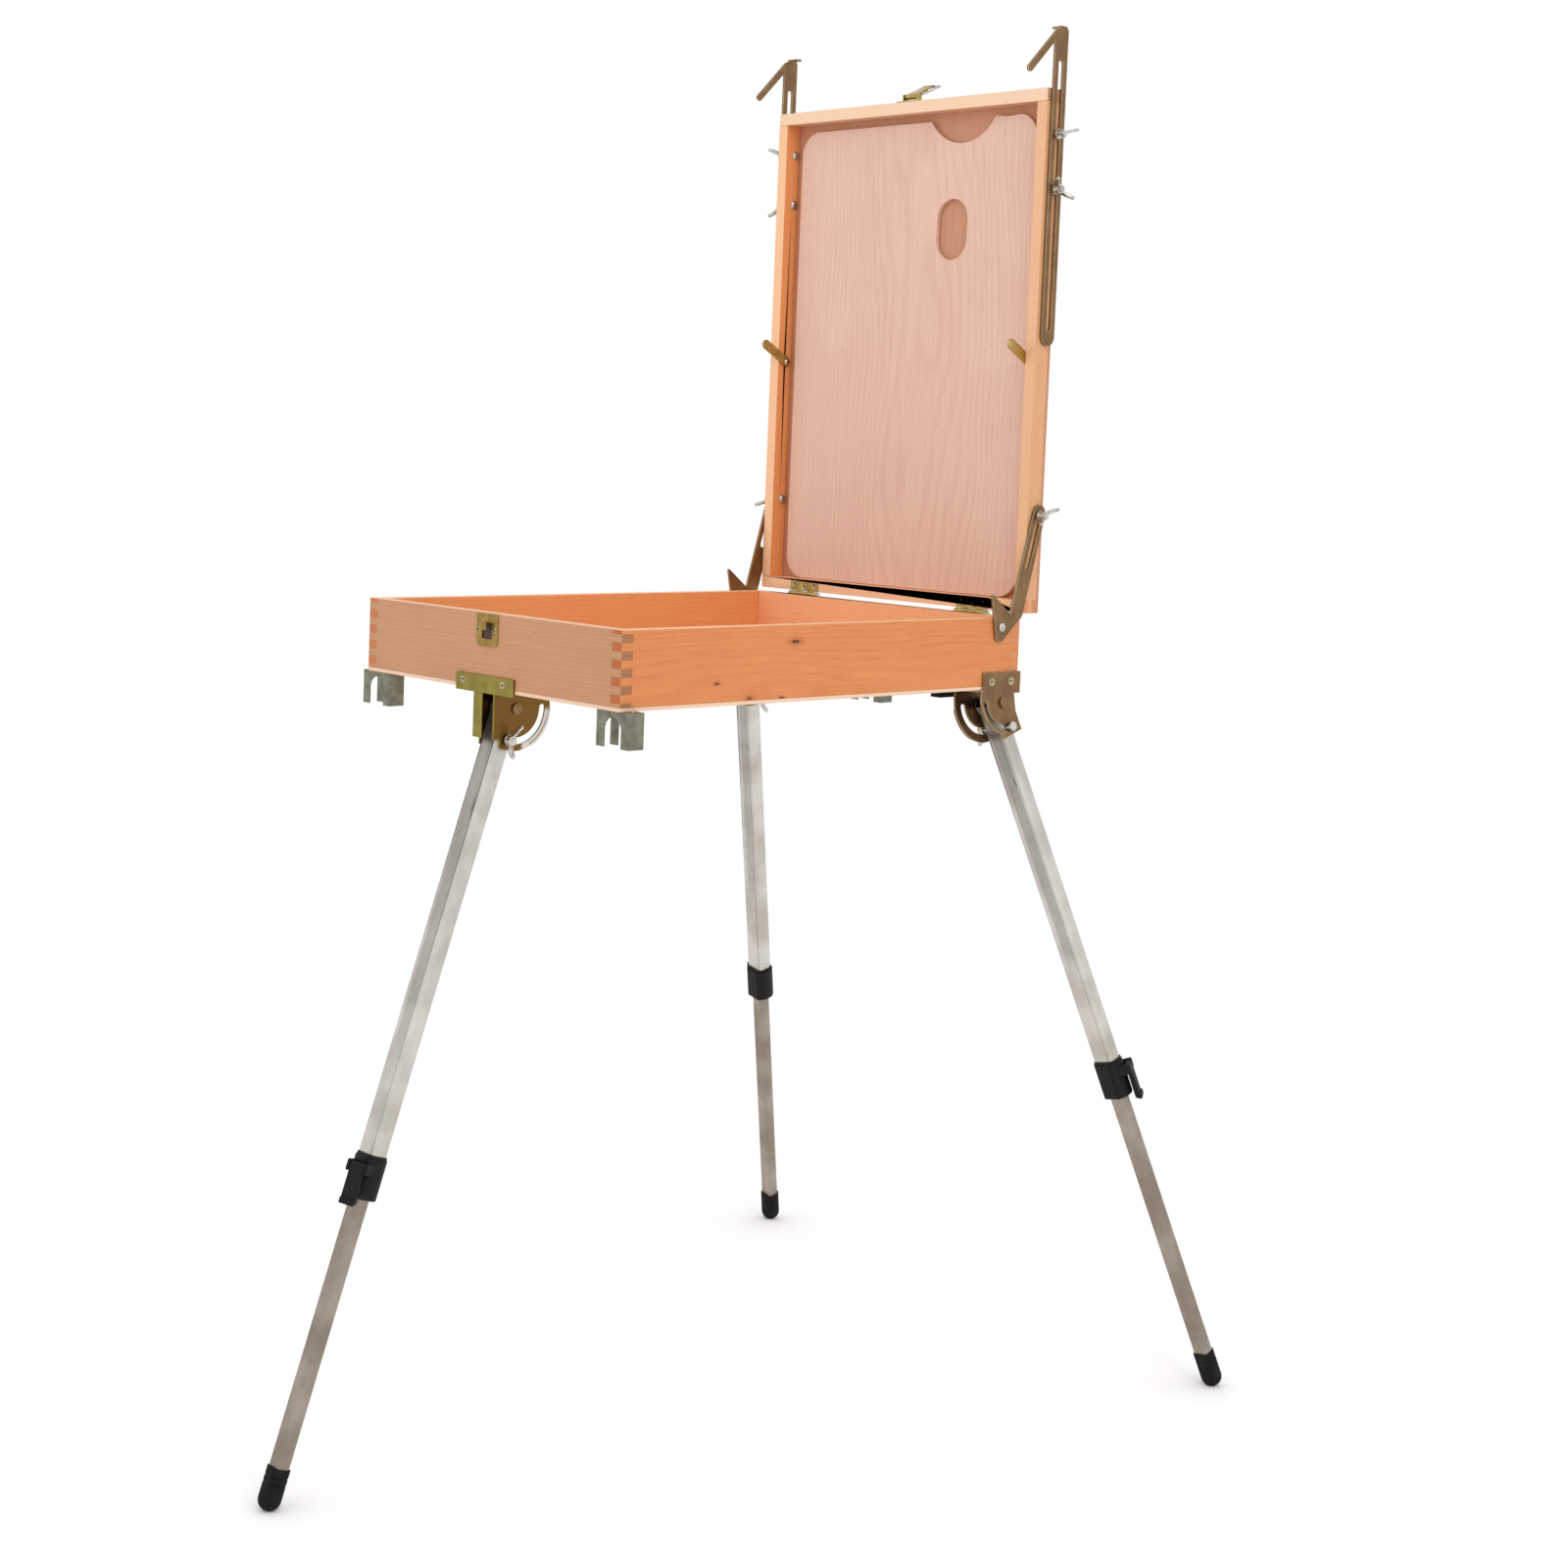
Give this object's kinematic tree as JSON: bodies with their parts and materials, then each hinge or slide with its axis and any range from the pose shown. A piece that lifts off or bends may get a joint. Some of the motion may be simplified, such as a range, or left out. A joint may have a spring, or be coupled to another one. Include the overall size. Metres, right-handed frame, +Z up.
{
  "type": "pochade box",
  "caption": "Wooden field sketch box whose lid stands up as an easel with sliding canvas holders, on three folding telescopic legs.",
  "frame": {"origin": "on the floor, below the middle of the box", "axes": "+X right, +Y back toward the lid, +Z up"},
  "size_m": [0.592, 0.8188, 1.1901],
  "materials": {
    "front_wood": "oiled beech",
    "side_wood": "oiled beech",
    "plywood": "raw plywood",
    "palette_wood": "satin varnish",
    "brass": "satin",
    "zinc_yellow": "yellow zinc plated",
    "bronze_steel": "bronzed",
    "steel": "bright zinc",
    "grey_steel": "grey zinc",
    "aluminium": "brushed",
    "black_plastic": "matte",
    "black_rubber": "matte"
  },
  "bodies": {
    "base": {"front_board": "front_wood", "rear_board": "front_wood", "right_board": "side_wood", "left_board": "side_wood", "bottom_panel": "plywood", "hinge_base_leaves": "brass", "hinge_pins": "steel", "latch_keeper": "brass", "stay_pivot_screws": "steel", "base_screws": "steel", "front_leg_bracket": "zinc_yellow", "right_leg_bracket": "bronze_steel", "left_leg_bracket": "bronze_steel", "bracket_blocks": "black_rubber", "leg_pivot_pins": "steel", "leg_clips": "grey_steel"},
    "lid": {"lid_top_board": "front_wood", "lid_bottom_board": "front_wood", "lid_right_board": "side_wood", "lid_left_board": "side_wood", "lid_panel": "plywood", "hinge_lid_leaves": "brass", "latch_plate": "brass", "carriage_bolts": "steel", "lid_screws": "steel"},
    "right_stay": {"right_stay": "bronze_steel"},
    "right_stay_nut": {"right_stay_nut": "steel"},
    "right_arm": {"right_arm": "bronze_steel"},
    "right_arm_top_nut": {"right_arm_top_nut": "steel"},
    "right_arm_low_nut": {"right_arm_low_nut": "steel"},
    "right_turn_clip": {"right_turn_clip": "brass"},
    "left_stay": {"left_stay": "bronze_steel"},
    "left_stay_nut": {"left_stay_nut": "steel"},
    "left_arm": {"left_arm": "bronze_steel"},
    "left_arm_top_nut": {"left_arm_top_nut": "steel"},
    "left_arm_low_nut": {"left_arm_low_nut": "steel"},
    "left_turn_clip": {"left_turn_clip": "brass"},
    "palette": {"palette": "palette_wood"},
    "latch_lever": {"latch_lever": "brass"},
    "latch_loop": {"latch_loop": "steel"},
    "front_leg": {"front_upper_tube": "aluminium", "front_clamp": "black_plastic"},
    "front_lower_leg": {"front_lower_tube": "aluminium", "front_foot": "black_rubber"},
    "front_wing_screw": {"front_wing_screw": "steel"},
    "front_clamp_lever": {"front_clamp_lever": "black_plastic"},
    "right_leg": {"right_upper_tube": "aluminium", "right_clamp": "black_plastic"},
    "right_lower_leg": {"right_lower_tube": "aluminium", "right_foot": "black_rubber"},
    "right_wing_screw": {"right_wing_screw": "steel"},
    "right_clamp_lever": {"right_clamp_lever": "black_plastic"},
    "left_leg": {"left_upper_tube": "aluminium", "left_clamp": "black_plastic"},
    "left_lower_leg": {"left_lower_tube": "aluminium", "left_foot": "black_rubber"},
    "left_wing_screw": {"left_wing_screw": "steel"},
    "left_clamp_lever": {"left_clamp_lever": "black_plastic"}
  },
  "joints": [
    {"name": "lid_hinge", "type": "hinge", "parent": "base", "child": "lid", "pos_m": [0, 0.2279, 0.6842], "axis": [1, 0, 0], "range_deg": [0, 90]},
    {"name": "right_stay_pivot", "type": "hinge", "parent": "base", "child": "right_stay", "pos_m": [0.165, 0.1988, 0.6762], "axis": [1, 0, 0], "range_deg": [0, 99.66]},
    {"name": "right_stay_nut_slide", "type": "slide", "parent": "right_stay", "child": "right_stay_nut", "axis": [0, -0.2694, -0.963], "range_m": [0, 0.04299]},
    {"name": "right_arm_slide", "type": "slide", "parent": "lid", "child": "right_arm", "axis": [0, 0, 1], "range_m": [-0.0505, 0.116]},
    {"name": "right_arm_top_nut_turn", "type": "hinge", "parent": "lid", "child": "right_arm_top_nut", "pos_m": [0.17, 0.2406, 1.0986], "axis": [1, 0, 0], "continuous": true},
    {"name": "right_arm_low_nut_turn", "type": "hinge", "parent": "lid", "child": "right_arm_low_nut", "pos_m": [0.17, 0.2406, 1.0521], "axis": [1, 0, 0], "continuous": true},
    {"name": "right_turn_clip_pivot", "type": "hinge", "parent": "lid", "child": "right_turn_clip", "pos_m": [0.154, 0.2371, 0.9031], "axis": [1, 0, 0], "range_deg": [-60, 120]},
    {"name": "left_stay_pivot", "type": "hinge", "parent": "base", "child": "left_stay", "pos_m": [-0.165, 0.1988, 0.6762], "axis": [1, 0, 0], "range_deg": [0, 99.66]},
    {"name": "left_stay_nut_slide", "type": "slide", "parent": "left_stay", "child": "left_stay_nut", "axis": [0, -0.2694, -0.963], "range_m": [0, 0.04299]},
    {"name": "left_arm_slide", "type": "slide", "parent": "lid", "child": "left_arm", "axis": [0, 0, 1], "range_m": [-0.0505, 0.116]},
    {"name": "left_arm_top_nut_turn", "type": "hinge", "parent": "lid", "child": "left_arm_top_nut", "pos_m": [-0.17, 0.2406, 1.0986], "axis": [1, 0, 0], "continuous": true},
    {"name": "left_arm_low_nut_turn", "type": "hinge", "parent": "lid", "child": "left_arm_low_nut", "pos_m": [-0.17, 0.2406, 1.0521], "axis": [1, 0, 0], "continuous": true},
    {"name": "left_turn_clip_pivot", "type": "hinge", "parent": "lid", "child": "left_turn_clip", "pos_m": [-0.154, 0.2371, 0.9031], "axis": [1, 0, 0], "range_deg": [-60, 120]},
    {"name": "palette_lift_out", "type": "slide", "parent": "lid", "child": "palette", "axis": [0, -1, 0], "range_m": [0, 0.06]},
    {"name": "latch_lever_pivot", "type": "hinge", "parent": "lid", "child": "latch_lever", "pos_m": [0, 0.2351, 1.1423], "axis": [1, 0, 0], "range_deg": [-24, 110]},
    {"name": "latch_loop_pivot", "type": "hinge", "parent": "latch_lever", "child": "latch_loop", "pos_m": [0, 0.2395, 1.1447], "axis": [-1, 0, 0], "range_deg": [-180, 0]},
    {"name": "front_leg_fold", "type": "hinge", "parent": "base", "child": "front_leg", "pos_m": [0, -0.2045, 0.608], "axis": [1, 0, 0], "range_deg": [0, 108.7]},
    {"name": "front_leg_telescope", "type": "slide", "parent": "front_leg", "child": "front_lower_leg", "axis": [0, 0.3206, 0.9472], "range_m": [0, 0.20941]},
    {"name": "front_wing_screw_turn", "type": "hinge", "parent": "front_leg", "child": "front_wing_screw", "pos_m": [0, -0.21284, 0.58337], "axis": [1, 0, 0], "continuous": true},
    {"name": "front_clamp_lever_flip", "type": "hinge", "parent": "front_leg", "child": "front_clamp_lever", "pos_m": [0.00685, -0.33864, 0.2575], "axis": [0.9063, 0.4003, -0.1355], "range_deg": [-110, 0]},
    {"name": "right_leg_fold", "type": "hinge", "parent": "base", "child": "right_leg", "pos_m": [0.155, 0.203, 0.608], "axis": [0.9767, 0, 0.2147], "range_deg": [-107.2, 0]},
    {"name": "right_leg_telescope", "type": "slide", "parent": "right_leg", "child": "right_lower_leg", "axis": [-0.2051, -0.2957, 0.933], "range_m": [0, 0.22765]},
    {"name": "right_wing_screw_turn", "type": "hinge", "parent": "right_leg", "child": "right_wing_screw", "pos_m": [0.15951, 0.20951, 0.58747], "axis": [0.9767, 0, 0.2147], "continuous": true},
    {"name": "right_clamp_lever_flip", "type": "hinge", "parent": "right_leg", "child": "right_clamp_lever", "pos_m": [0.23875, 0.31246, 0.2924], "axis": [-0.5433, 0.8273, 0.1427], "range_deg": [-110, 0]},
    {"name": "left_leg_fold", "type": "hinge", "parent": "base", "child": "left_leg", "pos_m": [-0.155, 0.203, 0.608], "axis": [0.9767, 0, -0.2147], "range_deg": [-107.2, 0]},
    {"name": "left_leg_telescope", "type": "slide", "parent": "left_leg", "child": "left_lower_leg", "axis": [0.2051, -0.2957, 0.933], "range_m": [0, 0.22765]},
    {"name": "left_wing_screw_turn", "type": "hinge", "parent": "left_leg", "child": "left_wing_screw", "pos_m": [-0.15951, 0.20951, 0.58747], "axis": [0.9767, 0, -0.2147], "continuous": true},
    {"name": "left_clamp_lever_flip", "type": "hinge", "parent": "left_leg", "child": "left_clamp_lever", "pos_m": [-0.23875, 0.31246, 0.2924], "axis": [-0.5433, -0.8273, -0.1427], "range_deg": [-110, 0]}
  ],
  "couplings": [
    {"joint": "right_stay_pivot", "follows": "lid_hinge", "ratio": 1.1073},
    {"joint": "right_stay_nut_slide", "follows": "lid_hinge", "m_per_rad": 0.027368},
    {"joint": "left_stay_pivot", "follows": "lid_hinge", "ratio": 1.1073},
    {"joint": "left_stay_nut_slide", "follows": "lid_hinge", "m_per_rad": 0.027368}
  ]
}
